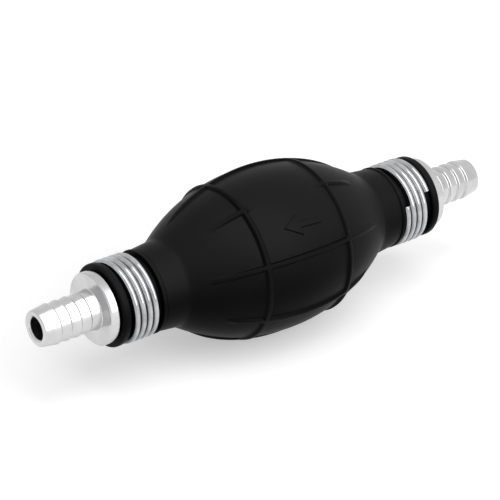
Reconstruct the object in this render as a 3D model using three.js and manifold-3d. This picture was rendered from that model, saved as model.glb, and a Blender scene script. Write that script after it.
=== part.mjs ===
// Squeeze-bulb siphon pump for a 12 mm hose: a moulded rubber bulb with a turned aluminium
// hose tail clamped into each neck and a spring-loaded non-return valve inside each tail.
// Millimetres. The pump axis lies along X and the bulb's middle is the origin. Liquid enters at
// +X and leaves at -X, the way the arrow on the bulb points. +Z is up.
// A "station" is a distance from the bulb's middle, measured outwards along the axis.

import * as THREE from 'three';
import { ParametricGeometry } from 'three/addons/geometries/ParametricGeometry.js';
import { mergeVertices } from 'three/addons/utils/BufferGeometryUtils.js';
import Module from 'manifold-3d';

const wasm = await Module();
wasm.setup();

// ---- driving dimensions -------------------------------------------------------------------

// bulb
const bellyRadius = 27.1;          // outside of the plain wall, at the middle
const bellyArcRadius = 66;         // the belly's curve, seen from the side
const bellyHalfLength = 39;        // middle of the bulb to the crease where a neck starts
const bellyWall = 2.8;             // thin enough to squeeze
const creaseRound = 0.7;           // softens the crease between shoulder and neck
const neckLength = 9.75;           // crease to clamp groove
const neckDraft = 0.7;             // how much slimmer a neck gets over its length
const neckLipWidth = 1.2;          // rounded lip beside the clamp groove
const neckLipHeight = 0.25;
const neckLipRound = 0.35;
const neckCreaseWidth = 0.5;       // fine crease that sets the lip off from the neck
const neckWall = 2.5;              // rubber under the clamp
const beadWidth = 2.75;            // end bead that keeps the clamp on
const beadRadius = 13.67;
const beadRound = 0.6;

// moulded ribs
const ribCount = 8;
const ribPhase = 19.6;             // degrees above the front, where the first rib lies
const ribWidth = 2.4;              // at its foot
const ribTopWidth = 0.9;           // flat on top, of the ring ribs too
const ribHeight = 0.9;
const arrowRib = 1;                // this rib is left out in the middle, beside the flow arrow
const longRibStop = 5;             // plain shoulder from a long rib's end to the crease
const shortRibStop = 10.5;         // every other rib is short
const ribFadePower = 8;            // the higher, the later and steeper a rib's end comes down
const ringRibStation = 16.2;
const ringRibWidth = 2.5;
const ringRibHeight = 0.9;

// spring-wire clamp
const clampWire = 2.2;             // wire diameter
const clampPitch = 2.35;
const clampTurns = 3.97;
const clampEndAngle = 32;          // degrees above the front, where the outer end was cut

// turned fitting
const shankRadius = 8.7;
const shankLength = 17.9;          // behind the collar
const shankLeadIn = 0.4;
const shankGrooveWidth = 4.8;      // the rubber is squeezed into this under the clamp
const shankGrooveDepth = 0.5;
const collarRadius = 11.95;
const collarWidth = 3.25;
const collarBevel = 0.45;
const tailLength = 20.3;
const tailRootRadius = 6.1;
const barbRadius = 6.72;
const barbCount = 4;
const barbPitch = 3.65;
const barbDrop = 0.45;             // length of the steep side behind a crest
const mouthTaper = 5.5;            // mouth to the first barb's crest
const mouthRadius = 5.94;
const mouthBevel = 0.55;
const boreRadius = 3.72;

// valve chamber in the fitting
const chamberRadius = 7;
const chamberLand = 1;             // shank end to the snap-ring groove
const snapGrooveRadius = 7.6;

// valve pieces
const seatLength = 3;
const seatHoleRadius = 3.6;
const seatLipRadius = 4.3;
const seatLipHeight = 0.35;
const seatLipFlank = 0.3;
const seatEntry = 0.6;             // bevel on the upstream edge of the hole
const gasketSection = 1;           // diameter of the round rubber section
const sealLength = 1;
const sealRadius = 4.9;
const sealHoleRadius = 2.75;
const sealRound = 0.2;
const headRadius = 5.2;            // poppet's disc
const headLength = 1.4;
const noseRadius = 3.15;           // poppet's nose, which holds the seal on
const noseLipLength = 0.6;
const noseConeLength = 0.85;
const noseTipRadius = 1.2;
const bossRadius = 1.9;            // centres the spring on the poppet
const bossLength = 0.85;
const pinRadius = 1;
const pinSunk = 3.1;               // length of pin inside the poppet
const pinBeyond = 1;               // pin end past the spider's hub at rest
const springWire = 0.5;
const springRadius = 2.6;          // to the middle of the wire
const springTurns = 4;
const springLength = 3.85;
const cageWall = 1.05;
const cageRimLength = 1.4;
const cageLegs = 3;
const cageLegAngle = 34;           // degrees of the rim that one leg takes up
const spiderLength = 1.5;
const hubRadius = 3;
const hubProud = 0.3;              // hub past the spider, towards the spring
const spokeWidth = 1.6;
const snapRingThickness = 0.9;
const snapRingReach = 1.1;         // radial width of the ring
const snapRingOpening = 52;        // degrees
const snapLugRadius = 5.5;
const snapLugAngle = 14;
const snapLugHole = 0.4;
const snapLugRoot = 3;             // degrees over which a lug grows out of the ring

// clearances
const seatGap = 0.3;               // between pieces that press together
const clampGap = 0.3;
const chamberGap = 0.2;            // radial, round the valve pieces
const stackGap = 0.2;              // between valve pieces along the axis
const ringGap = 0.15;              // round the gasket, snap ring and pin
const slideGap = 0.3;              // pin in the hub
const edgeBreak = 0.25;            // broken edges of small turned pieces

// facets
const turnedFacets = 24;           // round a full turn
const valveFacets = 18;
const pinFacets = 10;
const plainColumns = 2;            // of the bulb's wall, between one rib and the next
const clampSides = 6;              // of the wire's section
const clampSteps = 18;             // along one turn of the wire
const springSides = 5;
const springSteps = 10;
const gasketSides = 6;
const snapRingSteps = 18;

// ---- stations that follow from them -------------------------------------------------------

const boreInRubber = shankRadius + seatGap;
const grooveFloor = boreInRubber + neckWall;
const clampRadius = grooveFloor + clampGap + clampWire / 2;
const coilLength = clampTurns * clampPitch + clampWire;
const grooveStart = bellyHalfLength + neckLength;
const grooveEnd = grooveStart + coilLength + 2 * clampGap;
const beadEnd = grooveEnd + beadWidth;
const collarBack = beadEnd + seatGap;
const collarFront = collarBack + collarWidth;
const mouthStation = collarFront + tailLength;
const shankEnd = collarBack - shankLength;
const longRibReach = bellyHalfLength - longRibStop;
const shortRibReach = bellyHalfLength - shortRibStop;

const snapGrooveStart = shankEnd + chamberLand;
const snapGrooveEnd = snapGrooveStart + snapRingThickness + 2 * stackGap;
const spiderOuterRadius = chamberRadius - chamberGap;
const cageBore = spiderOuterRadius - cageWall;

// along the flow, from the upstream face of the seat ring
const cageStart = seatLength + stackGap;
const sealStart = seatLength + seatLipHeight + stackGap;
const headStart = sealStart + sealLength + stackGap;
const headEnd = headStart + headLength;
const springStart = headEnd + stackGap;
const hubStart = springStart + springLength + stackGap;
const spiderStart = hubStart + hubProud;
const cageEnd = spiderStart + spiderLength;
const chamberEnd = snapGrooveEnd + cageEnd + stackGap;

// ---- finishes -----------------------------------------------------------------------------

function finish(color, roughness, metalness) {
  return new THREE.MeshStandardMaterial({ color, roughness, metalness });
}

const blackRubber = finish(0x1f1f20, 0.55, 0);
const turnedAluminium = finish(0xd8d9da, 0.28, 1);
const springSteel = finish(0xc9cacc, 0.25, 1);
const turnedBrass = finish(0xb99a55, 0.3, 1);
const nitrileRubber = finish(0x18181a, 0.6, 0);
const whiteAcetal = finish(0xe6e4dc, 0.45, 0);
const stainlessSteel = finish(0xb9bbbd, 0.3, 1);

// ---- forms used more than once ------------------------------------------------------------

const along = (station, radius) => new THREE.Vector2(radius, station);
const radians = THREE.MathUtils.degToRad;

// A closed profile of (radius, station) points revolved about the X axis. The profile runs
// outwards along its outer side and back along its inner side.
function revolve(profile, segments) {
  const loop = [...profile, profile[0].clone()];
  return new THREE.LatheGeometry(loop, segments).rotateZ(-Math.PI / 2);
}

// A profile that starts and ends on the axis, for a piece with a solid middle.
function turn(profile, segments) {
  return new THREE.LatheGeometry(profile, segments).rotateZ(-Math.PI / 2);
}

// A flat outline in the YZ plane, made solid from one station to another.
function plate(outline, from, to, curveSegments = 6) {
  const settings = { depth: to - from, bevelEnabled: false, curveSegments };
  return new THREE.ExtrudeGeometry(outline, settings).rotateY(Math.PI / 2).translate(from, 0, 0);
}

// Points on a circle about the axis, in degrees, for the outline of a plate.
function ringPoints(radius, from, to, steps) {
  const points = [];
  for (let i = 0; i <= steps; i += 1) {
    const angle = radians(THREE.MathUtils.lerp(from, to, i / steps));
    points.push(new THREE.Vector2(radius * Math.cos(angle), radius * Math.sin(angle)));
  }
  return points;
}

// A coil about the X axis, wound towards -X as it turns from the front over the top.
class Coil extends THREE.Curve {
  constructor(radius, start, pitch, turns, startAngle) {
    super();
    Object.assign(this, { radius, start, pitch, turns, startAngle });
  }

  getPoint(t, target = new THREE.Vector3()) {
    const angle = radians(this.startAngle) + 2 * Math.PI * this.turns * t;
    const y = -this.radius * Math.cos(angle);
    const z = this.radius * Math.sin(angle);
    return target.set(this.start - this.pitch * this.turns * t, y, z);
  }
}

function coilWire(coil, wireDiameter, sides, stepsPerTurn) {
  const section = new THREE.Shape(ringPoints(wireDiameter / 2, 0, 360 - 360 / sides, sides - 1));
  const steps = Math.round(coil.turns * stepsPerTurn);
  return new THREE.ExtrudeGeometry(section, { steps, extrudePath: coil, bevelEnabled: false });
}

function toManifold(geometry) {
  const bare = geometry.clone().deleteAttribute('normal').deleteAttribute('uv');
  const merged = mergeVertices(bare, 1e-4);
  return new wasm.Manifold(new wasm.Mesh({
    numProp: 3,
    vertProperties: Float32Array.from(merged.attributes.position.array),
    triVerts: Uint32Array.from(merged.index.array),
  }));
}

// Joins closed forms that overlap into one body.
function join(...forms) {
  const body = forms.map(toManifold).reduce((whole, form) => whole.add(form));
  const mesh = body.getMesh();
  const geometry = new THREE.BufferGeometry();
  geometry.setAttribute('position', new THREE.BufferAttribute(mesh.vertProperties, 3));
  geometry.setIndex(new THREE.BufferAttribute(mesh.triVerts, 1));
  geometry.computeVertexNormals();
  return geometry;
}

function piece(name, geometry, material) {
  const mesh = new THREE.Mesh(geometry, material);
  mesh.name = name;
  return mesh;
}

// ---- bulb ---------------------------------------------------------------------------------

const bellyRadiusAt = (station) => (
  bellyRadius - bellyArcRadius + Math.sqrt(bellyArcRadius ** 2 - station ** 2)
);

// A rib keeps its height over the belly and fades out on the shoulder.
const ribFade = (station, reach) => 1 - Math.min(1, Math.abs(station) / reach) ** ribFadePower;

// One half of the bulb's section, from the middle of the outside to the middle of the inside.
// Each point tells how far a rib of a given reach stands up there.
function bulbHalfSection() {
  const point = (station, radius, ribAbove = () => 0) => ({ station, radius, ribAbove });
  const belly = (station, ring = 0) => {
    const ribAbove = (reach) => Math.max(ring, ribHeight * ribFade(station, reach)) - ring;
    return point(station, bellyRadiusAt(station) + ring, ribAbove);
  };
  const ringSide = ringRibWidth / 2;
  const ringTop = ribTopWidth / 2;
  const shoulder = [
    (ringRibStation + ringSide + shortRibReach) / 2,
    shortRibReach,
    (shortRibReach + longRibReach) / 2,
    longRibReach,
  ];
  const shoulderRadius = bellyRadiusAt(bellyHalfLength);
  const neckEndRadius = shoulderRadius - neckDraft;
  const lipStart = grooveStart - neckLipWidth;
  const innerBelly = (station) => point(station, bellyRadiusAt(station) - bellyWall);
  const shankMouth = shankEnd - seatGap;

  return [
    belly(0),
    belly((ringRibStation - ringSide) / 2),
    belly(ringRibStation - ringSide),
    belly(ringRibStation - ringTop, ringRibHeight),
    belly(ringRibStation + ringTop, ringRibHeight),
    belly(ringRibStation + ringSide),
    ...shoulder.map((station) => belly(station)),
    point(bellyHalfLength - creaseRound, bellyRadiusAt(bellyHalfLength - creaseRound)),
    point(bellyHalfLength + creaseRound, shoulderRadius),
    point(lipStart - neckCreaseWidth, neckEndRadius),
    point(lipStart, neckEndRadius - neckLipHeight),
    point(lipStart + neckLipRound, neckEndRadius + neckLipHeight),
    point(grooveStart - neckLipRound, neckEndRadius + neckLipHeight),
    point(grooveStart, neckEndRadius),
    point(grooveStart, grooveFloor),
    point(grooveEnd, grooveFloor),
    point(grooveEnd, beadRadius - beadRound),
    point(grooveEnd + beadRound, beadRadius),
    point(beadEnd - beadRound, beadRadius),
    point(beadEnd, beadRadius - beadRound),
    point(beadEnd, boreInRubber),
    point(shankMouth, boreInRubber),
    innerBelly(bellyHalfLength - neckWall),
    innerBelly(bellyHalfLength * 2 / 3),
    innerBelly(bellyHalfLength / 3),
    innerBelly(0),
  ];
}

// The section goes round the axis. Each rib's panel is split into columns: the rib's two feet,
// its two shoulders, and plain wall up to the next rib.
function bulb() {
  const half = bulbHalfSection();
  const mirrored = half.slice(1, -1).reverse().map((p) => ({ ...p, station: -p.station }));
  const section = [...half, ...mirrored].reverse();
  const columnsPerRib = 4 + plainColumns;
  const columns = ribCount * columnsPerRib;
  const panel = 2 * Math.PI / ribCount;

  function angleAndHeight(column, at) {
    const rib = Math.floor(column / columnsPerRib);
    const part = column % columnsPerRib;
    const foot = ribWidth / 2 / at.radius;
    const top = ribTopWidth / 2 / at.radius;
    const offsets = [-foot, -top, top, foot];
    const start = radians(ribPhase) + rib * panel;
    if (part < 4) {
      const besideArrow = rib === arrowRib && Math.abs(at.station) < ringRibStation / 2;
      const raised = (part === 1 || part === 2) && !besideArrow;
      const reach = rib % 2 === 0 ? longRibReach : shortRibReach;
      return [start + offsets[part], raised ? at.ribAbove(reach) : 0];
    }
    const share = (part - 3) / (plainColumns + 1);
    return [start + foot + share * (panel - 2 * foot), 0];
  }

  function surface(u, v, target) {
    const at = section[Math.round(v * section.length) % section.length];
    const [angle, height] = angleAndHeight(Math.round(u * columns) % columns, at);
    const radius = at.radius + height;
    target.set(at.station, -radius * Math.cos(angle), radius * Math.sin(angle));
  }

  return new ParametricGeometry(surface, columns, section.length);
}

// ---- turned fitting: shank with valve chamber, collar, barbed tail ------------------------

function fitting() {
  const barbs = [];
  for (let i = barbCount - 1; i >= 0; i -= 1) {
    const crest = mouthStation - mouthTaper - i * barbPitch;
    barbs.push(along(crest - barbDrop, tailRootRadius), along(crest, barbRadius));
  }
  const grooveMiddle = (grooveStart + grooveEnd) / 2;
  const grooveHalf = shankGrooveWidth / 2;
  return revolve([
    along(shankEnd, shankRadius - shankLeadIn),
    along(shankEnd + shankLeadIn, shankRadius),
    along(grooveMiddle - grooveHalf, shankRadius),
    along(grooveMiddle - grooveHalf + shankGrooveDepth, shankRadius - shankGrooveDepth),
    along(grooveMiddle + grooveHalf - shankGrooveDepth, shankRadius - shankGrooveDepth),
    along(grooveMiddle + grooveHalf, shankRadius),
    along(collarBack, shankRadius),
    along(collarBack, collarRadius - collarBevel),
    along(collarBack + collarBevel, collarRadius),
    along(collarFront - collarBevel, collarRadius),
    along(collarFront, collarRadius - collarBevel),
    along(collarFront, barbRadius),
    ...barbs,
    along(mouthStation - mouthBevel / 2, mouthRadius),
    along(mouthStation, mouthRadius - mouthBevel / 2),
    along(mouthStation, boreRadius + mouthBevel),
    along(mouthStation - mouthBevel, boreRadius),
    along(chamberEnd, boreRadius),
    along(chamberEnd, chamberRadius),
    along(snapGrooveEnd, chamberRadius),
    along(snapGrooveEnd, snapGrooveRadius),
    along(snapGrooveStart, snapGrooveRadius),
    along(snapGrooveStart, chamberRadius),
    along(shankEnd + edgeBreak, chamberRadius),
    along(shankEnd, chamberRadius + edgeBreak),
  ], turnedFacets);
}

// ---- clamp: close-wound coil of round spring wire, both ends cut square ------------------

function clamp() {
  const outerEnd = grooveEnd - clampGap - clampWire / 2;
  const coil = new Coil(clampRadius, outerEnd, clampPitch, clampTurns, clampEndAngle);
  return coilWire(coil, clampWire, clampSides, clampSteps);
}

// ---- snap ring: sprung C with a lug and plier hole at each end ---------------------------

function snapRing() {
  const outer = snapGrooveRadius - ringGap;
  const inner = outer - snapRingReach;
  const half = snapRingOpening / 2;
  const lugRoot = snapLugAngle + snapLugRoot;
  const outline = new THREE.Shape([
    ...ringPoints(outer, half, 360 - half, snapRingSteps),
    ...ringPoints(snapLugRadius, 360 - half, 360 - half - snapLugAngle, 2),
    ...ringPoints(inner, 360 - half - lugRoot, half + lugRoot, snapRingSteps),
    ...ringPoints(snapLugRadius, half + snapLugAngle, half, 2),
  ]);
  const holeRadius = (snapLugRadius + outer) / 2;
  [half + snapLugAngle / 2, 360 - half - snapLugAngle / 2].forEach((angle) => {
    const [middle] = ringPoints(holeRadius, angle, angle, 1);
    const hole = new THREE.Path().absarc(middle.x, middle.y, snapLugHole, 0, 2 * Math.PI, true);
    outline.holes.push(hole);
  });
  const start = snapGrooveStart + stackGap;
  return plate(outline, start, start + snapRingThickness, 4);
}

// ---- valve pieces, placed along the flow from the seat ring's upstream face ---------------

const gasketMiddle = seatLength / 2;
const gasketOuter = chamberRadius - ringGap;
const gasketGrooveFloor = gasketOuter - gasketSection - ringGap;

function valveSeat() {
  const outer = chamberRadius - chamberGap;
  const grooveHalf = gasketSection / 2 + stackGap;
  return revolve([
    along(0, outer - edgeBreak),
    along(edgeBreak, outer),
    along(gasketMiddle - grooveHalf, outer),
    along(gasketMiddle - grooveHalf, gasketGrooveFloor),
    along(gasketMiddle + grooveHalf, gasketGrooveFloor),
    along(gasketMiddle + grooveHalf, outer),
    along(seatLength, outer),
    along(seatLength, seatLipRadius + seatLipFlank),
    along(seatLength + seatLipHeight, seatLipRadius),
    along(seatLength + seatLipHeight, seatHoleRadius),
    along(seatEntry, seatHoleRadius),
    along(0, seatHoleRadius + seatEntry),
  ], valveFacets);
}

function seatGasket() {
  const sectionRadius = gasketSection / 2;
  const profile = [];
  for (let i = 1; i <= gasketSides; i += 1) {
    const angle = 2 * Math.PI * i / gasketSides;
    const station = gasketMiddle + sectionRadius * Math.sin(angle);
    profile.push(along(station, gasketOuter - sectionRadius + sectionRadius * Math.cos(angle)));
  }
  return revolve(profile, valveFacets);
}

function poppetSeal() {
  return revolve([
    along(sealStart, sealRadius - sealRound),
    along(sealStart + sealRound, sealRadius),
    along(sealStart + sealLength - sealRound, sealRadius),
    along(sealStart + sealLength, sealRadius - sealRound),
    along(sealStart + sealLength, sealHoleRadius),
    along(sealStart, sealHoleRadius),
  ], valveFacets);
}

const noseEnd = sealStart - stackGap;
const pinStart = headEnd + bossLength - pinSunk;

function poppet() {
  const noseStart = noseEnd - noseLipLength;
  return turn([
    along(noseStart - noseConeLength, 0),
    along(noseStart - noseConeLength, noseTipRadius),
    along(noseStart, noseRadius),
    along(noseEnd, noseRadius),
    along(noseEnd, sealHoleRadius - stackGap),
    along(headStart, sealHoleRadius - stackGap),
    along(headStart, headRadius - edgeBreak),
    along(headStart + edgeBreak, headRadius),
    along(headEnd - edgeBreak, headRadius),
    along(headEnd, headRadius - edgeBreak),
    along(headEnd, bossRadius),
    along(headEnd + bossLength, bossRadius - edgeBreak),
    along(headEnd + bossLength, pinRadius + ringGap),
    along(pinStart - ringGap, pinRadius + ringGap),
    along(pinStart - ringGap, 0),
  ], valveFacets);
}

function guidePin() {
  const end = cageEnd + pinBeyond;
  return turn([
    along(pinStart, 0),
    along(pinStart, pinRadius),
    along(end - edgeBreak, pinRadius),
    along(end, pinRadius - edgeBreak),
    along(end, 0),
  ], pinFacets);
}

function valveSpring() {
  const far = springStart + springLength - springWire / 2;
  const pitch = (springLength - springWire) / springTurns;
  const coil = new Coil(springRadius, far, pitch, springTurns, 0);
  return coilWire(coil, springWire, springSides, springSteps);
}

// Basket that holds the seat ring off the far end of the chamber and guides the poppet's pin:
// a rim, legs with open windows between them, and a three-armed spider with a bored hub.
function springCage() {
  const ringOutline = (outer, inner, steps) => {
    const outline = new THREE.Shape(ringPoints(outer, 0, 360 - 360 / steps, steps - 1));
    outline.holes.push(new THREE.Path(ringPoints(inner, 0, 360 - 360 / steps, steps - 1)));
    return outline;
  };
  const rim = ringOutline(spiderOuterRadius, cageBore, valveFacets);
  const hub = ringOutline(hubRadius, pinRadius + slideGap, pinFacets);
  const sink = 0.3;                // legs and spokes run this far into what they join
  const shy = 0.05;                // and stay this far inside its faces
  const legOuter = spiderOuterRadius * Math.cos(Math.PI / valveFacets) - shy;
  const forms = [
    plate(rim, cageStart, cageStart + cageRimLength),
    plate(rim, spiderStart, cageEnd),
    plate(hub, hubStart, cageEnd),
  ];
  for (let i = 0; i < cageLegs; i += 1) {
    const middle = 90 + i * 360 / cageLegs;
    const half = cageLegAngle / 2;
    const leg = new THREE.Shape([
      ...ringPoints(legOuter, middle - half, middle + half, 2),
      ...ringPoints(cageBore + shy, middle + half, middle - half, 2),
    ]);
    forms.push(plate(leg, cageStart + cageRimLength - sink, spiderStart + sink));
    const spokeInner = hubRadius - sink;
    const spokeOuter = cageBore + sink;
    const spokeLength = spokeOuter - spokeInner;
    const spoke = new THREE.BoxGeometry(spiderLength - 2 * shy, spokeLength, spokeWidth);
    spoke.translate(spiderStart + spiderLength / 2, (spokeInner + spokeOuter) / 2, 0);
    forms.push(spoke.rotateX(radians(middle)));
  }
  return join(...forms);
}

// ---- assembly -----------------------------------------------------------------------------

// What one end of the pump has outside its valve, built for the +X end.
function endHardware(name) {
  const end = new THREE.Group();
  end.add(
    piece(`${name}_fitting`, fitting(), turnedAluminium),
    piece(`${name}_clamp`, clamp(), springSteel),
    piece(`${name}_snap_ring`, snapRing(), stainlessSteel),
  );
  return end;
}

// The two valves are alike and both open the way the liquid flows.
function valve(name) {
  const cartridge = new THREE.Group();
  cartridge.add(
    piece(`${name}_valve_seat`, valveSeat(), turnedBrass),
    piece(`${name}_seat_gasket`, seatGasket(), nitrileRubber),
    piece(`${name}_poppet_seal`, poppetSeal(), nitrileRubber),
    piece(`${name}_poppet`, poppet(), whiteAcetal),
    piece(`${name}_guide_pin`, guidePin(), stainlessSteel),
    piece(`${name}_valve_spring`, valveSpring(), stainlessSteel),
    piece(`${name}_spring_cage`, springCage(), whiteAcetal),
  );
  cartridge.rotation.z = Math.PI;
  return cartridge;
}

const pump = new THREE.Group();
pump.add(piece('bulb', bulb(), blackRubber));

const inletEnd = endHardware('inlet');
const outletEnd = endHardware('outlet');
outletEnd.rotation.z = Math.PI;
pump.add(inletEnd, outletEnd);

// the inlet's seat ring lies on the chamber's shoulder, the outlet's against its snap ring
const inletValve = valve('inlet');
inletValve.position.x = chamberEnd - stackGap;
const outletValve = valve('outlet');
outletValve.position.x = -snapGrooveEnd;
pump.add(inletValve, outletValve);

export default pump;
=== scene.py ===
import math
import bmesh
import bpy
import numpy as np
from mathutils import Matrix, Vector


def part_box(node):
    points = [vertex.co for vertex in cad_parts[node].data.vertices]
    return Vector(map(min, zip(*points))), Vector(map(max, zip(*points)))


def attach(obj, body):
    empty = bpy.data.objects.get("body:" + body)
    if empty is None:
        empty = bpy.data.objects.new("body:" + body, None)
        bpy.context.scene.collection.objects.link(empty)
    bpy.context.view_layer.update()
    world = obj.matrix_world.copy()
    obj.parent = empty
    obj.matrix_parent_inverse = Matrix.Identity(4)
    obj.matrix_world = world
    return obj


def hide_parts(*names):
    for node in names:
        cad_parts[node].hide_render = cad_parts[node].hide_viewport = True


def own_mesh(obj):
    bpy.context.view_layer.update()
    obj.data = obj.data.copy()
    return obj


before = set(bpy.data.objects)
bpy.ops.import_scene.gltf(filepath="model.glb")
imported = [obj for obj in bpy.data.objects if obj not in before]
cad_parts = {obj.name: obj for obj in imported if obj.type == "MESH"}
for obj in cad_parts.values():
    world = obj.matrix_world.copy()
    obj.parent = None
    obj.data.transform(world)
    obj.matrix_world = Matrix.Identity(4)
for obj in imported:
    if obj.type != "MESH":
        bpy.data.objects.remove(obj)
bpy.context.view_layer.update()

mm = 0.001
weldDistance = 1e-7    # in metres
pumpBody = "pump_body"
ends = {"outlet": -1, "inlet": 1}    # which way each end of the pump points along X

# Places below are in mm. A station is a distance from the bulb's middle along the pump's axis.
# Angle 0 is the front (-Y) and grows over the top (+Z).


# grid: rows x columns x 3 in metres, as a closed skin. Columns always meet again after one
# turn, rows only on request. Each cell is a quad, and poles are rows drawn to one point.
# The summed corner volume a . (b x c) tells which way the faces look, and turns them outwards.
def addSkin(name, grid, material, body, closedRows=False, attributes=None):
    rows, columns = grid.shape[:2]
    row = np.arange(rows if closedRows else rows - 1)[:, None]
    column = np.arange(columns)[None, :]
    nextRow, nextColumn = (row + 1) % rows, (column + 1) % columns
    corners = (row * columns + column, row * columns + nextColumn,
               nextRow * columns + nextColumn, nextRow * columns + column)
    quads = np.stack(np.broadcast_arrays(*corners), -1).reshape(-1, 4)
    places = grid.reshape(-1, 3)
    a, b, c, d = (places[quads[:, i]] for i in range(4))
    volume = (a * np.cross(b, c)).sum() + (a * np.cross(c, d)).sum()
    if volume < 0:
        quads = quads[:, ::-1]
    mesh = bpy.data.meshes.new(name)
    mesh.vertices.add(len(places))
    mesh.vertices.foreach_set("co", places.astype(np.float32).ravel())
    mesh.loops.add(quads.size)
    mesh.loops.foreach_set("vertex_index", quads.astype(np.int32).ravel())
    mesh.polygons.add(len(quads))
    mesh.polygons.foreach_set("loop_start", np.arange(0, quads.size, 4, dtype=np.int32))
    mesh.update(calc_edges=True)
    for label, values in (attributes or {}).items():
        isVector = values.ndim == 3
        layer = mesh.attributes.new(label, "FLOAT_VECTOR" if isVector else "FLOAT", "POINT")
        field = "vector" if isVector else "value"
        layer.data.foreach_set(field, values.astype(np.float32).ravel())
    shell = bmesh.new()
    shell.from_mesh(mesh)
    bmesh.ops.remove_doubles(shell, verts=shell.verts, dist=weldDistance)
    shell.to_mesh(mesh)
    shell.free()
    mesh.polygons.foreach_set("use_smooth", np.ones(len(mesh.polygons), dtype=bool))
    mesh.materials.append(material)
    piece = bpy.data.objects.new(name, mesh)
    bpy.context.scene.collection.objects.link(piece)
    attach(piece, body)
    return piece


# A rise that eases in and out: 3 u^2 - 2 u^3, for u from 0 to 1.
def eased(u):
    return u * u * (3 - 2 * u)


# How steep that rise is: 4 u (1 - u), which is 1 halfway up.
def steepness(u):
    return 4 * u * (1 - u)


def roundAngles(count):    # angles evenly spaced over a full turn
    return np.arange(count) / count * 2 * math.pi


rounding = {
    "arcSteps": 5,
    "sideShare": 0.46,    # an arc takes no more of either side
    "straight": 0.02,    # a corner that turns by fewer radians stays a point
    "support": 0.06, "supportShare": 0.03,    # the lesser of mm and a share of the side
}


# corners: (station, radius, fillet). Each corner becomes the arc that touches both its sides:
# an arc of radius R between sides that open by the angle w starts R / tan(w / 2) from the
# corner. A support point beside each arc keeps the flats flat under smooth shading.
def filletedOutline(corners, closed=True):
    at = np.array([corner[:2] for corner in corners], float)
    outline = []
    for i, corner in enumerate(corners):
        isEnd = not closed and i in (0, len(corners) - 1)
        before, after = at[i - 1] - at[i], at[(i + 1) % len(at)] - at[i]
        longBefore, longAfter = np.linalg.norm(before), np.linalg.norm(after)
        before, after = before / longBefore, after / longAfter
        opening = math.acos(np.clip(before @ after, -1, 1))
        turn = math.pi - opening
        if isEnd or len(corner) < 3 or turn < rounding["straight"]:
            outline.append(at[i][None])
            continue
        reach = min(corner[2] / math.tan(opening / 2),
                    rounding["sideShare"] * min(longBefore, longAfter))
        radius = reach * math.tan(opening / 2)
        bisector = (before + after) / np.linalg.norm(before + after)
        middle = at[i] + bisector * math.hypot(radius, reach)
        start, end = at[i] + before * reach, at[i] + after * reach
        share = np.linspace(0, 1, rounding["arcSteps"] + 1)[:, None]
        arc = (np.sin((1 - share) * turn) * (start - middle)
               + np.sin(share * turn) * (end - middle)) / math.sin(turn) + middle
        toStart, toEnd = (min(rounding["support"], length * rounding["supportShare"])
                          for length in (longBefore, longAfter))
        outline += [(start + before * toStart)[None], arc, (end + after * toEnd)[None]]
    return np.vstack(outline)


# outline: (station, radius) points carried round the X axis, to
# (start + way * station, -radius cos a, radius sin a) with a from 0 to a full turn.
def revolved(outline, columns, way=1, start=0.0):
    angle = roundAngles(columns)
    station, radius = outline[:, :1], outline[:, 1:]
    x = np.broadcast_to(start + way * station, (len(outline), columns))
    return np.stack([x, -radius * np.cos(angle), radius * np.sin(angle)], -1) * mm


# A round wire wound round the X axis: a circle of angle q and radius r, carried along the
# helix x = start - pitch * turned / (2 pi), angle = firstAngle + turned. Each end is cut square
# with its edge rounded: r grows from wire / 2 - endRound to wire / 2, as a quarter circle does.
def woundWire(coil, way=1, start=0.0):
    wire, burr = coil["wire"] / 2, coil["endRound"]
    quarter = np.linspace(0, math.pi / 2, coil["endRows"])
    lead = burr * (1 - np.cos(quarter))
    slim = wire - burr + burr * np.sin(quarter)
    length = 2 * math.pi * coil["radius"] * coil["turns"]
    steps = int(coil["turns"] * coil["stepsPerTurn"])
    middle = np.linspace(lead[-1], length - lead[-1], steps)[1:-1]
    along = np.concatenate([[0], lead, middle, length - lead[::-1], [length]])
    section = np.concatenate([[0], slim, np.full(len(middle), wire), slim[::-1], [0]])
    turned = along / length * coil["turns"] * 2 * math.pi
    angle = math.radians(coil["firstAngle"]) + turned
    x = start - coil["pitch"] * turned / (2 * math.pi)
    outwards = np.stack([np.zeros_like(angle), -np.cos(angle), np.sin(angle)], -1)
    path = outwards * coil["radius"] + np.stack([x, 0 * x, 0 * x], -1)
    # the helix's slope: against the pitch along X, and a quarter turn on from outwards
    lean = np.full(len(angle), -coil["pitch"] / (2 * math.pi))
    tangent = np.stack([lean, coil["radius"] * np.sin(angle), coil["radius"] * np.cos(angle)], -1)
    tangent /= np.linalg.norm(tangent, axis=1)[:, None]
    sideways = np.cross(tangent, outwards)
    q = roundAngles(coil["sides"])
    offset = (outwards[:, None] * np.cos(q)[None, :, None]
              + sideways[:, None] * np.sin(q)[None, :, None]) * section[:, None, None]
    grid = (path[:, None] + offset) * mm
    unwound = np.stack(np.broadcast_arrays(along[:, None], section[:, None] * np.cos(q),
                                           section[:, None] * np.sin(q)), -1) * mm
    if way < 0:    # half a turn about Z, as the other end of the pump has it
        grid = grid * np.array([-1, -1, 1])
    return grid, unwound


def linearColour(hexText):    # sRGB hex to linear light
    parts = [int(hexText[i:i + 2], 16) / 255 for i in (1, 3, 5)]
    return [p / 12.92 if p <= 0.04045 else ((p + 0.055) / 1.055) ** 2.4 for p in parts] + [1.0]


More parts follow.
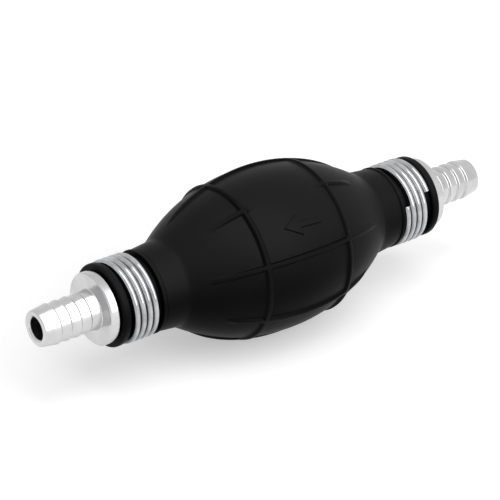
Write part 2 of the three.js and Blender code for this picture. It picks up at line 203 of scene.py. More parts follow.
# settings: a node's own attribute or an input to its value, "stops" a ramp's (place, hex) pairs.
# links: an input to the output socket that feeds it.
def addNode(tree, kind, settings=None, links=None):
    node = tree.nodes.new(kind)
    for key, value in (settings or {}).items():
        if key == "stops":
            ramp = node.color_ramp.elements
            for element, (place, hexText) in zip(ramp, value):
                element.position, element.color = place, linearColour(hexText)
        elif isinstance(key, str) and hasattr(node, key):
            setattr(node, key, value)
        else:
            node.inputs[key].default_value = value
    for key, socket in (links or {}).items():
        tree.links.new(socket, node.inputs[key])
    return node


def emptyTree(owner):    # owner: a material or the world
    owner.use_nodes = True
    owner.node_tree.nodes.clear()
    return owner.node_tree


def startMaterial(name, shaderSettings):
    material = bpy.data.materials.new(name)
    tree = emptyTree(material)
    shader = addNode(tree, "ShaderNodeBsdfPrincipled", shaderSettings)
    addNode(tree, "ShaderNodeOutputMaterial", links={"Surface": shader.outputs[0]})
    coords = addNode(tree, "ShaderNodeTexCoord").outputs["Object"]
    return material, tree, shader, coords


# The last steps of every finish. Colour goes from dull to bright with toneNoise, and then each
# layer, (its colour's key, how much of it shows), lies over that. Roughness goes with
# glossNoise, from smoother to rougher. reliefNoise stands depth high, in mm.
def finishShader(tree, shader, look, toneNoise, glossNoise, reliefNoise, layers=()):
    colour = addNode(tree, "ShaderNodeValToRGB",
                     {"stops": [(look["toneFrom"], look["dull"]),
                                (look["toneTo"], look["bright"])]},
                     {"Fac": toneNoise.outputs["Fac"]}).outputs["Color"]
    for key, amount in layers:
        colour = addNode(tree, "ShaderNodeMix", {"data_type": "RGBA", 7: linearColour(look[key])},
                         {0: amount, 6: colour}).outputs[2]
    gloss = addNode(tree, "ShaderNodeMapRange",
                    {"From Min": look["glossFrom"], "From Max": look["glossTo"],
                     "To Min": look["roughness"] - look["smoother"],
                     "To Max": look["roughness"] + look["rougher"]},
                    {"Value": glossNoise.outputs["Fac"]})
    relief = addNode(tree, "ShaderNodeBump", {"Distance": look["depth"] * mm},
                     {"Height": reliefNoise.outputs["Fac"]})
    tree.links.new(colour, shader.inputs["Base Color"])
    tree.links.new(gloss.outputs[0], shader.inputs["Roughness"])
    tree.links.new(relief.outputs[0], shader.inputs["Normal"])


# What a look has unless it says otherwise. From and to are values of a noise.
plainLook = {
    "toneFrom": 0.35, "toneTo": 0.65, "glossFrom": 0.0, "glossTo": 1.0,
    "smoother": 0.06, "rougher": 0.06,
}
metalLook = {**plainLook, "toneFrom": 0.3, "glossFrom": 0.3, "glossTo": 0.7,
             "smoother": 0.05, "rougher": 0.07}


# Nitrile-blend rubber, pressed in a fine-blasted steel mould: a satin black with broad, weak
# highlights and a faint cloudiness in the gloss. A paler grey on what faces up is painted light
# from above. Creases are painted shade, near black, and rib crests get a painted highlight in mid
# grey.
rubberLook = {
    **plainLook, "dull": "#040404", "bright": "#060606", "toneTo": 0.68,
    # painted light from above: a paler grey as the surface's normal turns up
    "topLight": "#1b1b1c", "topLightFrom": -0.1, "topLightTo": 0.7,    # heights of the surface's normal
    # painted shade in the creases of ribs and rings, and a painted highlight on their crests
    "crease": "#020202", "crest": "#101011",
    "roughness": 0.4, "specular": 0.04, "cloudSize": 9.0, "grit": 0.35, "depth": 0.004,
}


def mouldedRubber(look):
    material, tree, shader, coords = startMaterial("mouldedRubber", {
        "Metallic": 0.0, "IOR": 1.5, "Specular IOR Level": look["specular"]})
    cloud = addNode(tree, "ShaderNodeTexNoise",
                    {"Scale": 1 / (look["cloudSize"] * mm), "Detail": 3.0}, {"Vector": coords})
    grit = addNode(tree, "ShaderNodeTexNoise",
                   {"Scale": 1 / (look["grit"] * mm), "Detail": 2.0}, {"Vector": coords})
    # Painted light from above: the paler grey grows as the surface's normal turns up.
    facing = addNode(tree, "ShaderNodeSeparateXYZ", links={0: coords.node.outputs["Normal"]})
    litFromAbove = addNode(tree, "ShaderNodeMapRange",
                    {"interpolation_type": "SMOOTHSTEP", "From Min": look["topLightFrom"],
                     "From Max": look["topLightTo"]}, {"Value": facing.outputs["Z"]})
    layers = [("topLight", litFromAbove.outputs[0])]
    # Painted shade in the creases and a painted highlight on the crests, from the mesh's
    # attributes.
    for key in ("crease", "crest"):    # attributes of the mesh, and their colours' keys
        own = addNode(tree, "ShaderNodeAttribute", {"attribute_name": key})
        layers.append((key, own.outputs["Fac"]))
    finishShader(tree, shader, look, cloud, cloud, grit, layers)
    return material


# Aluminium bar, turned bright and left bare: near white, with a faint grey cloudiness.
aluminiumLook = {
    **metalLook, "dull": "#c4c4c5", "bright": "#d2d2d3", "roughness": 0.19,
    "anisotropy": 0.3, "feed": 0.3, "depth": 0.003, "stainSize": 7.0,
}
# Free-cutting brass, turned: yellow, a little darker where it has begun to tarnish.
brassLook = {
    **metalLook, "dull": "#b8944c", "bright": "#d9b76a", "roughness": 0.26,
    "anisotropy": 0.3, "feed": 0.25, "depth": 0.003, "stainSize": 2.0,
}


# A turned metal: the tool leaves rings about the axis, x apart on a cylinder and radius apart
# on a face, so x + radius counts them on both. Real feed is about 0.1 mm, and the rings are
# drawn feed apart to show. They give the stretched highlights of lathe work.
def turnedMetal(name, look):
    material, tree, shader, coords = startMaterial(name, {
        "Metallic": 1.0, "Anisotropic": look["anisotropy"]})
    split = addNode(tree, "ShaderNodeSeparateXYZ", links={0: coords})
    flat = addNode(tree, "ShaderNodeCombineXYZ", links={"Y": split.outputs["Y"],
                                                        "Z": split.outputs["Z"]})
    radius = addNode(tree, "ShaderNodeVectorMath", {"operation": "LENGTH"},
                     {0: flat.outputs[0]})
    count = addNode(tree, "ShaderNodeMath", {"operation": "ADD"},
                    {0: split.outputs["X"], 1: radius.outputs["Value"]})
    ringPlace = addNode(tree, "ShaderNodeCombineXYZ", links={"X": count.outputs[0]})
    rings = addNode(tree, "ShaderNodeTexNoise",
                    {"Scale": 1 / (look["feed"] * mm), "Detail": 2.0},
                    {"Vector": ringPlace.outputs[0]})
    stain = addNode(tree, "ShaderNodeTexNoise",
                    {"Scale": 1 / (look["stainSize"] * mm), "Detail": 4.0}, {"Vector": coords})
    finishShader(tree, shader, look, stain, rings, rings)
    tangent = addNode(tree, "ShaderNodeTangent", {"direction_type": "RADIAL", "axis": "X"})
    tree.links.new(tangent.outputs[0], shader.inputs["Tangent"])
    return material


# Carbon-steel spring wire, drawn, wound and bright zinc plated: mirror-like along its length,
# with long fine die lines that run along the wire and slight dulling of the plating. Painted
# shade darkens the gaps between the windings, most on the clamp's lower side.
wireLook = {
    **metalLook, "dull": "#acadaf", "bright": "#c6c7c9", "toneFrom": 0.35, "toneTo": 0.6,
    # the dark grey is painted shade between the windings
    "gapShade": "#3c3d3f", "roughness": 0.15, "smoother": 0.04, "rougher": 0.08,
    "dieLine": 0.2, "lineLength": 16.0, "depth": 0.001, "stainSize": 4.0,
}


def drawnWire(look):
    material, tree, shader, coords = startMaterial("zincPlatedWire", {"Metallic": 1.0})
    unwound = addNode(tree, "ShaderNodeAttribute", {"attribute_name": "unwound"})
    stretched = addNode(tree, "ShaderNodeMapping",
                        {"Scale": (1 / (look["lineLength"] * mm), 1 / (look["dieLine"] * mm),
                                   1 / (look["dieLine"] * mm))},
                        {"Vector": unwound.outputs["Vector"]})
    lines = addNode(tree, "ShaderNodeTexNoise", {"Scale": 1.0, "Detail": 2.0},
                    {"Vector": stretched.outputs[0]})
    stain = addNode(tree, "ShaderNodeTexNoise",
                    {"Scale": 1 / (look["stainSize"] * mm), "Detail": 3.0}, {"Vector": coords})
    # painted shade in the gaps between the windings, heavier low on the clamp
    gap = addNode(tree, "ShaderNodeAttribute", {"attribute_name": "gap"})
    finishShader(tree, shader, look, stain, lines, lines, [("gapShade", gap.outputs["Fac"])])
    return material


# The small inner pieces: each is one base tone with a finer mottle, at its own grain.
innerLooks = {
    # Nitrile rubber, moulded and tumbled: matt black-brown.
    "nitrileRubber": {**plainLook, "dull": "#161617", "bright": "#1e1e1f", "grain": 0.5,
                      "metallic": 0.0, "roughness": 0.6, "depth": 0.006},
    # Acetal, injection moulded: milky white with a soft gloss.
    "whiteAcetal": {**plainLook, "dull": "#dedcd2", "bright": "#e9e8e0", "grain": 1.4,
                    "metallic": 0.0, "roughness": 0.42, "depth": 0.004},
    # Stainless steel, stamped or ground and tumbled: grey, with a fine directionless satin.
    "stainlessSteel": {**plainLook, "dull": "#a9abad", "bright": "#c3c5c7", "grain": 0.35,
                       "metallic": 1.0, "roughness": 0.3, "depth": 0.003},
}


def innerFinish(name, look):
    material, tree, shader, coords = startMaterial(name, {"Metallic": look["metallic"]})
    mottle = addNode(tree, "ShaderNodeTexNoise",
                     {"Scale": 1 / (look["grain"] * mm), "Detail": 3.0}, {"Vector": coords})
    finishShader(tree, shader, look, mottle, mottle, mottle)
    return material


rubber = mouldedRubber(rubberLook)
aluminium = turnedMetal("turnedAluminium", aluminiumLook)
brass = turnedMetal("turnedBrass", brassLook)
zincWire = drawnWire(wireLook)
nitrile, acetal, stainless = (innerFinish(name, look) for name, look in innerLooks.items())
print("finishes: rubber, aluminium, brass, zinc wire, nitrile, acetal, stainless steel")


# Camera, at the photograph's angle. The aim is set off from the bulb's middle to frame it.
photoView = {
    "azimuth": -37.02, "elevation": 27.99, "distance": 847.8, "lens": 188.75, "sensor": 36,
    "aimRight": -4.24, "aimUp": -0.52, "clipFrom": 50, "clipTo": 20000,
}


def addCamera(view):
    azimuth, elevation = math.radians(view["azimuth"]), math.radians(view["elevation"])
    back = Vector((math.sin(azimuth) * math.cos(elevation),
                   -math.cos(azimuth) * math.cos(elevation), math.sin(elevation)))
    right = Vector((math.cos(azimuth), math.sin(azimuth), 0))
    up = back.cross(right)
    data = bpy.data.cameras.new("photoCamera")
    data.sensor_width, data.lens = view["sensor"], view["lens"]
    data.clip_start, data.clip_end = view["clipFrom"] * mm, view["clipTo"] * mm
    camera = bpy.data.objects.new("photoCamera", data)
    camera.location = (right * view["aimRight"] + up * view["aimUp"]
                       + back * view["distance"]) * mm
    camera.rotation_mode = "QUATERNION"
    camera.rotation_quaternion = back.to_track_quat("Z", "Y")
    bpy.context.scene.collection.objects.link(camera)
    bpy.context.scene.camera = camera


addCamera(photoView)


# The moulded bulb. Reaches and clearances across a rib or ring count its half width as 1.
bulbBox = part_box("bulb")
bulb = {
    "radius": bulbBox[1].z / mm, "length": bulbBox[1].x / mm * 2,
    "arcRadius": 66, "bellyHalf": 39, "crease": 0.55, "easeFrom": 33,
    "wall": 2.8, "innerHalf": 36.5, "bore": 9.0, "boreEnd": 45.73,
    "neckLength": 9.75, "neckDraft": 0.7,
    "lipWidth": 1.2, "lipHeight": 0.25, "lipRise": 0.35, "lipCrease": 0.5,
    "lipFillet": 0.25, "lipFootFillet": 0.1, "lipEdgeFillet": 0.4,
    "grooveFloor": 11.77, "beadWidth": 2.75, "beadRadius": 13.67, "beadRound": 0.85,
    "cornerFillet": 0.3,
    "ribs": 8, "firstRib": 19.6, "ribWidth": 2.4, "ribHeight": 0.9, "ribFlank": 0.7,
    "longReach": 34, "shortReach": 28.5, "fadePower": 8,
    # The painted shade in the creases is weaker on the rib beside the arrow and from the ring
    # towards the inlet on. crestFrom is where the painted highlight on the raised tops begins.
    "arrowRib": 1, "clearHalf": 11.5, "clearEnd": 16, "arrowRibShade": 0.45,
    "ringStation": 16.2, "ringWidth": 2.5, "crestFrom": 0.6,
    "inletShade": 0.3,    # creases are softer from the ring towards the inlet on
    "rowStep": 0.75, "ringRows": 25, "ringReach": 1.15, "ringClear": 1.3,
    "creaseRows": 13, "creaseReach": 2, "innerRows": 14,
    "fanTop": 0.14, "fanFlank": (0.28, 0.98, 9), "fanFoot": (1.1, 1.25, 1.45),
    "plainColumns": 9,
}


# The belly is an arc of arcRadius along the axis, so its radius falls off by
# arcRadius - sqrt(arcRadius^2 - station^2).
def bellyRadius(station):
    fall = bulb["arcRadius"] - np.sqrt(bulb["arcRadius"] ** 2 - station ** 2)
    return bulb["radius"] - fall


# How far up a rib's flank the place t is, 0 at its foot and 1 on its flat top: (1 - |t|) / flank,
# with t from -1 to 1 across the rib.
def ribRise(t):
    return np.clip((1 - np.abs(t)) / bulb["ribFlank"], 0, 1)


# Half the section, from the middle of the outside round the end to the middle of the inside,
# then mirrored. The neck is a slight cone. Where belly and neck meet, the larger of both is
# taken, eased over crease: (a + b + sqrt((a - b)^2 + crease^2)) / 2.
def bulbOutline():
    bellyHalf, halfRing = bulb["bellyHalf"], bulb["ringWidth"] / 2
    plain = np.arange(0, bellyHalf - bulb["creaseReach"], bulb["rowStep"])
    plain = plain[np.abs(plain - bulb["ringStation"]) > bulb["ringClear"] * halfRing]
    reach = np.linspace(-bulb["ringReach"], bulb["ringReach"], bulb["ringRows"])
    overRing = bulb["ringStation"] + reach * halfRing
    overCrease = bellyHalf + np.linspace(-bulb["creaseReach"], bulb["creaseReach"],
                                         bulb["creaseRows"])
    station = np.sort(np.concatenate([plain, overRing, overCrease]))
    shoulder = bellyRadius(bellyHalf)
    slope = bulb["neckDraft"] / bulb["neckLength"]
    neck = shoulder - slope * (station - bellyHalf)
    belly = bellyRadius(station)
    joined = (belly + neck + np.sqrt((belly - neck) ** 2 + bulb["crease"] ** 2)) / 2
    radius = np.where(station < bulb["easeFrom"], belly, joined)
    outside = np.stack([station, radius], -1)

    beadEnd = bulb["length"] / 2
    grooveEnd = beadEnd - bulb["beadWidth"]
    grooveStart = bellyHalf + bulb["neckLength"]
    lipStart = grooveStart - bulb["lipWidth"]
    neckEnd = shoulder - bulb["neckDraft"]
    corner = bulb["cornerFillet"]
    end = filletedOutline([
        (station[-1], radius[-1]),
        (lipStart - bulb["lipCrease"], neckEnd, bulb["lipFillet"]),
        (lipStart, neckEnd - bulb["lipHeight"], bulb["lipFootFillet"]),
        (lipStart + bulb["lipRise"], neckEnd + bulb["lipHeight"], bulb["lipFillet"]),
        (grooveStart, neckEnd + bulb["lipHeight"], bulb["lipEdgeFillet"]),
        (grooveStart, bulb["grooveFloor"], corner),
        (grooveEnd, bulb["grooveFloor"], corner),
        (grooveEnd, bulb["beadRadius"], bulb["beadRound"]),
        (beadEnd, bulb["beadRadius"], bulb["beadRound"]),
        (beadEnd, bulb["bore"], corner),
        (bulb["boreEnd"], bulb["bore"], corner),
        (bulb["innerHalf"], bellyRadius(bulb["innerHalf"]) - bulb["wall"]),
    ], closed=False)[1:]
    inner = np.linspace(bulb["innerHalf"], 0, bulb["innerRows"])[1:]
    inside = np.stack([inner, bellyRadius(inner) - bulb["wall"]], -1)
    half = np.vstack([outside, end, inside])
    mirrored = half[1:-1][::-1] * np.array([-1, 1])
    return np.vstack([half, mirrored])


# Rows follow the outline, columns go round it. Each rib takes a fan of columns a fixed
# number of mm apart, so a rib keeps its width where the bulb narrows. The radius is
# belly + height * (ring + rib - ring * rib), which joins crossing ribs at one height.
# The rib beside the arrow sinks into the belly between the rings.
def makeBulb():
    outline = bulbOutline()
    station, radius = outline[:, 0], outline[:, 1]
    inmost, innerRows = len(station) // 2, bulb["innerRows"]
    isInside = np.zeros(len(station), bool)
    isInside[inmost - innerRows:inmost + innerRows + 1] = True
    onBelly = (np.abs(station) < bulb["bellyHalf"]) & ~isInside

    panel = 2 * math.pi / bulb["ribs"]
    outwards = np.concatenate([[bulb["fanTop"]], np.linspace(*bulb["fanFlank"]), bulb["fanFoot"]])
    fan = np.concatenate([-outwards[::-1], outwards])    # across a rib, 1 at its feet
    foot = bulb["ribWidth"] / 2 / radius[:, None]
    share = np.arange(1, bulb["plainColumns"] + 1) / (bulb["plainColumns"] + 1)
    gap = panel - 2 * fan[-1] * foot
    angle = np.concatenate([fan[None, :] * foot, fan[-1] * foot + share[None, :] * gap], 1)
    ribNumber = np.arange(bulb["ribs"])
    firstAngle = math.radians(bulb["firstRib"]) + ribNumber[None, :, None] * panel
    allAngle = (firstAngle + angle[:, None, :]).reshape(len(station), -1)

    reach = np.where(ribNumber % 2 == 0, bulb["longReach"], bulb["shortReach"])
    fade = 1 - np.clip(np.abs(station)[:, None] / reach[None, :], 0, 1) ** bulb["fadePower"]
    pastClear = (np.abs(station) - bulb["clearHalf"]) / (bulb["clearEnd"] - bulb["clearHalf"])
    fade[:, bulb["arrowRib"]] *= eased(np.clip(pastClear, 0, 1))
    fade = fade * onBelly[:, None]
    acrossRing = (np.abs(station) - bulb["ringStation"]) / (bulb["ringWidth"] / 2)

    def overBulb(form):    # one form of the rise, across all ribs and across both rings
        across = np.concatenate([form(ribRise(fan)), np.zeros(len(share))])
        ribs = (fade[:, :, None] * across[None, None, :]).reshape(len(station), -1)
        return ribs, (form(ribRise(acrossRing)) * onBelly)[:, None]

    rib, ring = overBulb(eased)
    raised = ring + rib - ring * rib
    # Painted shade in the creases, darkest up the flanks of ribs and rings, and a painted
    # highlight, the crest, on the raised tops.
    ribFlank, ringFlank = overBulb(steepness)
    besideArrow = np.repeat(ribNumber == bulb["arrowRib"], angle.shape[1])
    ribFlank = ribFlank * np.where(besideArrow, bulb["arrowRibShade"], 1)
    crease = np.clip(ringFlank * (1 - rib) + ribFlank * (1 - ring), 0, 1)
    pastRing = station > bulb["ringStation"] - bulb["ringWidth"] / 2
    crease = crease * np.where(pastRing, bulb["inletShade"], 1)[:, None]
    crest = np.clip((raised - bulb["crestFrom"]) / (1 - bulb["crestFrom"]), 0, 1)

    full = radius[:, None] + bulb["ribHeight"] * raised
    x = np.broadcast_to(station[:, None], full.shape)
    grid = np.stack([x, -full * np.cos(allAngle), full * np.sin(allAngle)], -1) * mm
    piece = addSkin("rubberBulb", grid, rubber, pumpBody, True,
                    {"crest": crest, "crease": crease})
    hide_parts("bulb")
    print("bulb:", grid.shape[0], "rows by", grid.shape[1], "columns")


makeBulb()


# The flow arrow: flat, moulded up from the belly, and leaning, with its tip a little farther
# up the belly than its tail. Its edges carry painted shade, full where they face down and lighter
# where they face up.
arrow = {
    "angle": 40.3, "lean": 3.7, "tip": -7.0, "headBase": -1.2, "tail": 7.0,
    "headHalf": 3.5, "shaftHalf": 1.0, "edge": 0.55, "height": 0.35,
    # the painted shade on edges that face up, as a share of that on edges that face down
    "upperShade": 0.35, "downRise": 0.001,
    "margin": 1.2, "step": 0.1, "sunk": 0.05, "under": 0.7,
}


# A patch of the belly's own surface, raised by height * s^2 (3 - 2 s), s = 1/2 + inwards / edge,
# where inwards is the distance from the arrow's outline, less than 0 outside it. There the
# patch lies just under the bulb's skin.
def makeArrow():
    head, shaft = arrow["headHalf"], arrow["shaftHalf"]
    tip, base, tail = arrow["tip"], arrow["headBase"], arrow["tail"]
    corners = np.array([(tip, 0), (base, head), (base, shaft), (tail, shaft), (tail, -shaft),
                        (base, -shaft), (base, -head)], float)
    margin, step = arrow["margin"], arrow["step"]
    station = np.arange(tip - margin, tail + margin, step)
    across = np.arange(-head - margin, head + margin, step)
    place = np.stack(np.broadcast_arrays(station[:, None], across[None, :]), -1)
    side = np.roll(corners, -1, 0) - corners
    fromCorner = place[:, :, None] - corners
    share = np.clip((fromCorner * side).sum(-1) / (side ** 2).sum(-1), 0, 1)
    distance = np.linalg.norm(fromCorner - share[..., None] * side, axis=-1).min(-1)
    headWidth = head * (station - tip)[:, None] / (base - tip)
    inHead = (np.abs(across) < headWidth) & (station < base)[:, None]
    inShaft = (np.abs(across) < shaft) & ((station >= base) & (station < tail))[:, None]
    inwards = np.where(inHead | inShaft, distance, -distance)
    s = np.clip(0.5 + inwards / arrow["edge"], 0, 1)
    rise = arrow["height"] * eased(s) - arrow["sunk"]
    belly = bellyRadius(station)[:, None]
    leaned = across - math.tan(math.radians(arrow["lean"])) * station[:, None]
    angle = math.radians(arrow["angle"]) + leaned / bulb["radius"]
    under = np.broadcast_to(belly - arrow["under"], rise.shape)
    radius = np.concatenate([belly + rise, under], 1)
    turned = np.concatenate([angle, angle[:, ::-1]], 1)
    x = np.broadcast_to(station[:, None], radius.shape)
    grid = np.stack([x, -radius * np.cos(turned), radius * np.sin(turned)], -1)
    poles = grid[[0, -1]].mean(1, keepdims=True) + np.zeros_like(grid[[0, -1]])
    grid = np.concatenate([poles[:1], grid, poles[1:]]) * mm
    # Painted shade along the arrow's edges, full on those that face down.
    facesDown = np.gradient(rise, axis=1) > arrow["downRise"]
    crease = np.zeros(grid.shape[:2])
    crease[1:-1, :len(across)] = steepness(s) * np.where(facesDown, 1, arrow["upperShade"])
    piece = addSkin("flowArrow", grid, rubber, pumpBody, False,
                    {"crest": np.zeros(crease.shape), "crease": crease})
    print("flow arrow:", grid.shape[0], "rows by", grid.shape[1], "columns")


makeArrow()


# The turned fittings, in turned bar with every cut edge broken.
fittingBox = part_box("inlet_fitting")
fitting = {
    "shankEnd": fittingBox[0].x / mm, "mouth": fittingBox[1].x / mm,
    "shank": 8.7, "leadIn": 0.4,
    "grooveFrom": 52.415, "grooveTo": 57.215, "grooveDepth": 0.5, "grooveFillet": 0.3,
    "collarBack": 63.93, "collarFront": 67.18, "collar": 11.95, "collarBevel": 0.45,
    "collarFillet": 0.3, "collarBackFillet": 0.2,
    "root": 6.1, "barb": 6.72, "barbs": 4, "barbPitch": 3.65, "barbDrop": 0.45,
    "crestEdge": 0.45, "rootFillet": 0.2,
    "mouthTaper": 5.5, "mouthRadius": 5.94, "mouthBevel": 0.55, "mouthEdge": 0.2,
    "bore": 3.72, "chamber": 7, "chamberEnd": 60.73, "chamberFillet": 0.15,
    "chamberBevel": 0.25, "snapFrom": 47.03, "snapTo": 48.33, "snapGroove": 7.6,
    "snapFillet": 0.1, "cutEdge": 0.07, "columns": 192,
}


# Cut as on a lathe, from the shank's end over the collar and the barbs to the mouth, and back
# through the bore and the valve chamber.
def fittingOutline():
    f = fitting
    edge, bevel, snapFillet = f["cutEdge"], f["collarBevel"], f["snapFillet"]
    grooveFrom, grooveTo = f["grooveFrom"] + f["grooveDepth"], f["grooveTo"] - f["grooveDepth"]
    firstCrest = f["mouth"] - f["mouthTaper"]
    barbs = []
    for i in range(f["barbs"] - 1, -1, -1):
        crest = firstCrest - i * f["barbPitch"]
        barbs += [(crest - f["barbDrop"], f["root"], f["rootFillet"]),
                  (crest, f["barb"], f["crestEdge"])]
    return filletedOutline([
        (f["shankEnd"], f["shank"] - f["leadIn"], edge),
        (f["shankEnd"] + f["leadIn"], f["shank"], edge),
        (f["grooveFrom"], f["shank"], edge),
        (grooveFrom, f["shank"] - f["grooveDepth"], f["grooveFillet"]),
        (grooveTo, f["shank"] - f["grooveDepth"], f["grooveFillet"]),
        (f["grooveTo"], f["shank"], edge),
        (f["collarBack"], f["shank"], f["collarBackFillet"]),
        (f["collarBack"], f["collar"] - bevel, edge),
        (f["collarBack"] + bevel, f["collar"], edge),
        (f["collarFront"] - bevel, f["collar"], edge),
        (f["collarFront"], f["collar"] - bevel, edge),
        (f["collarFront"], f["barb"], f["collarFillet"]),
        *barbs,
        (f["mouth"] - f["mouthBevel"] / 2, f["mouthRadius"], f["mouthEdge"]),
        (f["mouth"], f["mouthRadius"] - f["mouthBevel"] / 2, edge),
        (f["mouth"], f["bore"] + f["mouthBevel"], edge),
        (f["mouth"] - f["mouthBevel"], f["bore"], edge),
        (f["chamberEnd"], f["bore"], edge),
        (f["chamberEnd"], f["chamber"], f["chamberFillet"]),
        (f["snapTo"], f["chamber"], edge),
        (f["snapTo"], f["snapGroove"], snapFillet),
        (f["snapFrom"], f["snapGroove"], snapFillet),
        (f["snapFrom"], f["chamber"], edge),
        (f["shankEnd"] + f["chamberBevel"], f["chamber"], edge),
        (f["shankEnd"], f["chamber"] + f["chamberBevel"], edge),
    ])


def makeFittings():
    outline = fittingOutline()
    for end, way in ends.items():
        grid = revolved(outline, fitting["columns"], way)
        piece = addSkin(f"{end}HoseTail", grid, aluminium, pumpBody, True)
        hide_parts(f"{end}_fitting")
    print("fittings:", len(outline), "points round", fitting["columns"], "columns")


makeFittings()


# The clamps: close-wound spring wire, its ends cut square by the coiling machine. Heights of
# the painted shade in the gaps are in radii of the coil, over the pump's axis.
clamp = {
    "wire": 2.2, "radius": 12.9, "pitch": 2.35, "turns": 3.97, "firstAngle": 32,
    "outerEnd": 59.48, "endRound": 0.22, "endRows": 5, "stepsPerTurn": 96, "sides": 28,
    "shadeTop": 0.5, "shadeBottom": -0.3, "shadeAbove": 0.1,
}


# Painted shade in the gaps: sin(q)^2 round the wire, so 1 where it faces its neighbours, times a
# share that goes from its value above the band to 1 as the height goes down from the band's top
# to its bottom.
def clampGapShade(grid):
    top, bottom, above = clamp["shadeTop"], clamp["shadeBottom"], clamp["shadeAbove"]
    height = grid[..., 2].mean(1, keepdims=True) / (clamp["radius"] * mm)
    low = np.clip((top - height) / (top - bottom), 0, 1)
    return np.sin(roundAngles(clamp["sides"])) ** 2 * (above + (1 - above) * low)


def makeClamps():
    for end, way in ends.items():
        grid, unwound = woundWire(clamp, way, clamp["outerEnd"])
        piece = addSkin(f"{end}WireClamp", grid, zincWire, pumpBody, False,
                        {"unwound": unwound, "gap": clampGapShade(grid)})
        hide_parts(f"{end}_clamp")
    print("clamps:", grid.shape[0], "rows by", grid.shape[1], "sides")


makeClamps()


# The valves. Stations here run along the flow, towards -X, from the seat ring's upstream
# face. Each turned piece is an outline (station, radius, fillet) carried round the axis.
valve = {
    "seatRing": [(0, 6.8, 0.25), (0.8, 6.8, 0.06), (0.8, 5.7, 0.1), (2.2, 5.7, 0.1),
                 (2.2, 6.8, 0.06), (3, 6.8, 0.06), (3, 4.6, 0.1), (3.35, 4.3, 0.08),
                 (3.35, 3.6, 0.08), (0.6, 3.6, 0.2), (0, 4.2, 0.06)],
    "poppetSeal": [(3.55, 4.9, 0.2), (4.55, 4.9, 0.2), (4.55, 2.75, 0.08), (3.55, 2.75, 0.08)],
    "poppetBody": [(1.9, 0), (1.9, 1.2, 0.3), (2.75, 3.15, 0.2), (3.35, 3.15, 0.1),
                   (3.35, 2.55, 0.06), (4.75, 2.55, 0.06), (4.75, 5.2, 0.25),
                   (6.15, 5.2, 0.25), (6.15, 1.9, 0.2), (7.0, 1.9, 0.25), (7.0, 1.15, 0.05),
                   (3.75, 1.15, 0.05), (3.75, 0)],
    "guidePin": [(3.9, 0), (3.9, 1, 0.1), (13.2, 1, 0.25), (13.2, 0)],
    "columns": 96,
}
seatORing = {"station": 1.5, "radius": 6.35, "section": 0.5, "sides": 20}
returnSpring = {
    "wire": 0.5, "radius": 2.6, "pitch": 0.8375, "turns": 4, "firstAngle": 0,
    "first": 9.95, "endRound": 0.05, "endRows": 5, "stepsPerTurn": 60, "sides": 14,
    "hubFace": 10.4, "length": 3.85, "lift": 1.6,
}


def makeTurnedPieces(end, seatFace):
    poppetBody = f"{end}_poppet_assembly"
    pieces = (
        ("SeatRing", "seatRing", "valve_seat", brass, "turned_brass", pumpBody),
        ("PoppetSeal", "poppetSeal", "poppet_seal", nitrile, "nitrile_rubber", poppetBody),
        ("PoppetBody", "poppetBody", "poppet", acetal, "white_acetal", poppetBody),
        ("GuidePin", "guidePin", "guide_pin", stainless, "stainless_steel", poppetBody),
    )
    for name, key, node, material, slot, body in pieces:
        isRing = valve[key][0][1] > 0    # its outline closes, clear of the axis
        outline = filletedOutline(valve[key], isRing)
        grid = revolved(outline, valve["columns"], -1, seatFace)
        piece = addSkin(f"{end}{name}", grid, material, body, isRing)
        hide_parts(f"{end}_{node}")


def makeSeatORing(end, seatFace):
    q = roundAngles(seatORing["sides"])
    ring = np.stack([seatORing["station"] + seatORing["section"] * np.sin(q),
                     seatORing["radius"] + seatORing["section"] * np.cos(q)], -1)
    grid = revolved(ring, valve["columns"], -1, seatFace)
    piece = addSkin(f"{end}SeatORing", grid, nitrile, pumpBody, True)
    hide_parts(f"{end}_seat_gasket")


# Wound from its far end back towards the poppet, as -X is along the flow. Its far end stays
# on the cage's hub.
def makeReturnSpring(end, seatFace):
    s = returnSpring
    grid, _ = woundWire(s, -1, s["first"] - seatFace)
    piece = addSkin(f"{end}ReturnSpring", grid, stainless, pumpBody, False)
    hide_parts(f"{end}_valve_spring")
    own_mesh(piece)


# Cage and snap ring keep their own solids, and take their finishes.
def finishOwnSolids(end):
    for node, material in ((f"{end}_spring_cage", acetal), (f"{end}_snap_ring", stainless)):
        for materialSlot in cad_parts[node].material_slots:
            materialSlot.material = material


for end in ends:
    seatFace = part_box(f"{end}_valve_seat")[1].x / mm
    makeTurnedPieces(end, seatFace)
    makeSeatORing(end, seatFace)
    makeReturnSpring(end, seatFace)
    finishOwnSolids(end)
print("valves:", " and ".join(ends))


# The studio. The floor lies on the bulb's underside, a pale paper that the sky and the soft box
# light. To the eye and in gloss it is lifted to white, less the object's shadow. The walls are
# white and the ceiling a little greyer: from horizon to zenith strength as the height z of a
# ray goes from horizonAt to zenithAt. As a light they are an even, dimmer fill.
studio = {
    "floorLevel": bulbBox[0].z / mm, "floorSize": 8000, "floor": "#e2e2e2", "floorLift": 0.43,
    "horizon": 0.9, "zenith": 0.84, "horizonAt": 0.0, "zenithAt": 0.6, "fill": 0.34,
}
# The soft box is aimed at the object: place, width and height in mm, power in watts. It shows in
# gloss, not to the eye, and stands well back, so that the floor is lit evenly in view.
lamps = {
    "keyBox": {"place": (222, -831, 1100), "width": 940, "height": 2994, "power": 23.5},
}


# 1 for the rays that show the studio: to the eye, in gloss and through glass. 0 for its light.
def seenRays(tree):
    rays = addNode(tree, "ShaderNodeLightPath")
    seen = rays.outputs["Is Camera Ray"]
    for kind in ("Is Glossy Ray", "Is Transmission Ray"):
        seen = addNode(tree, "ShaderNodeMath", {"operation": "MAXIMUM"},
                       {0: seen, 1: rays.outputs[kind]}).outputs[0]
    return seen


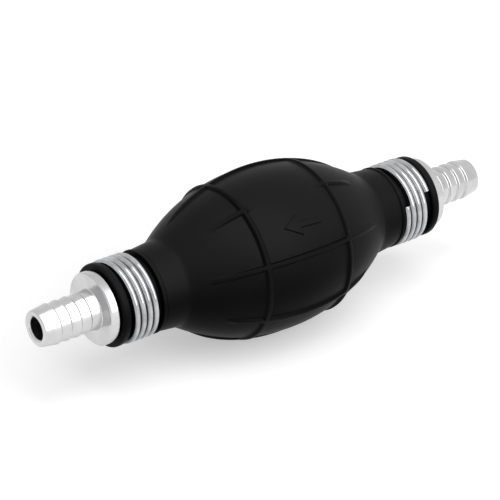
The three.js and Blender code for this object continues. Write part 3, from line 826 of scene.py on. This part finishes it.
def addFloor():
    half = studio["floorSize"] / 2 * mm
    level = studio["floorLevel"] * mm
    mesh = bpy.data.meshes.new("floor")
    mesh.from_pydata([(-half, -half, level), (half, -half, level), (half, half, level),
                      (-half, half, level)], [], [(0, 1, 2, 3)])
    material = bpy.data.materials.new("paperFloor")
    tree = emptyTree(material)
    paper = addNode(tree, "ShaderNodeBsdfDiffuse", {"Color": linearColour(studio["floor"])})
    lift = addNode(tree, "ShaderNodeMath", {"operation": "MULTIPLY", 1: studio["floorLift"]},
                   {0: seenRays(tree)})
    glow = addNode(tree, "ShaderNodeEmission", links={"Strength": lift.outputs[0]})
    both = addNode(tree, "ShaderNodeAddShader", links={0: paper.outputs[0], 1: glow.outputs[0]})
    addNode(tree, "ShaderNodeOutputMaterial", links={"Surface": both.outputs[0]})
    mesh.materials.append(material)
    floor = bpy.data.objects.new("floor", mesh)
    bpy.context.scene.collection.objects.link(floor)


def addSky():
    world = bpy.data.worlds.new("studioSky")
    bpy.context.scene.world = world
    tree = emptyTree(world)
    ray = addNode(tree, "ShaderNodeTexCoord").outputs["Generated"]
    height = addNode(tree, "ShaderNodeSeparateXYZ", links={0: ray}).outputs["Z"]
    wall = addNode(tree, "ShaderNodeMapRange",
                   {"interpolation_type": "SMOOTHSTEP", "From Min": studio["horizonAt"],
                    "From Max": studio["zenithAt"], "To Min": studio["horizon"],
                    "To Max": studio["zenith"]}, {"Value": height})
    strength = addNode(tree, "ShaderNodeMix", {"data_type": "FLOAT", 2: studio["fill"]},
                       {0: seenRays(tree), 3: wall.outputs[0]})
    sky = addNode(tree, "ShaderNodeBackground", {"Color": linearColour("#ffffff")},
                  {"Strength": strength.outputs[0]})
    addNode(tree, "ShaderNodeOutputWorld", links={"Surface": sky.outputs[0]})


def addLamps():
    for name, lamp in lamps.items():
        data = bpy.data.lights.new(name, "AREA")
        data.shape, data.energy = "RECTANGLE", lamp["power"]
        data.size, data.size_y = lamp["width"] * mm, lamp["height"] * mm
        light = bpy.data.objects.new(name, data)
        light.visible_camera = False
        place = Vector(lamp["place"]) * mm
        light.location = place
        light.rotation_mode = "QUATERNION"
        light.rotation_quaternion = place.to_track_quat("Z", "Y")
        bpy.context.scene.collection.objects.link(light)


addFloor()
addSky()
addLamps()
bpy.context.scene.view_settings.view_transform = "Standard"
print("studio: floor, sky and", ", ".join(lamps))
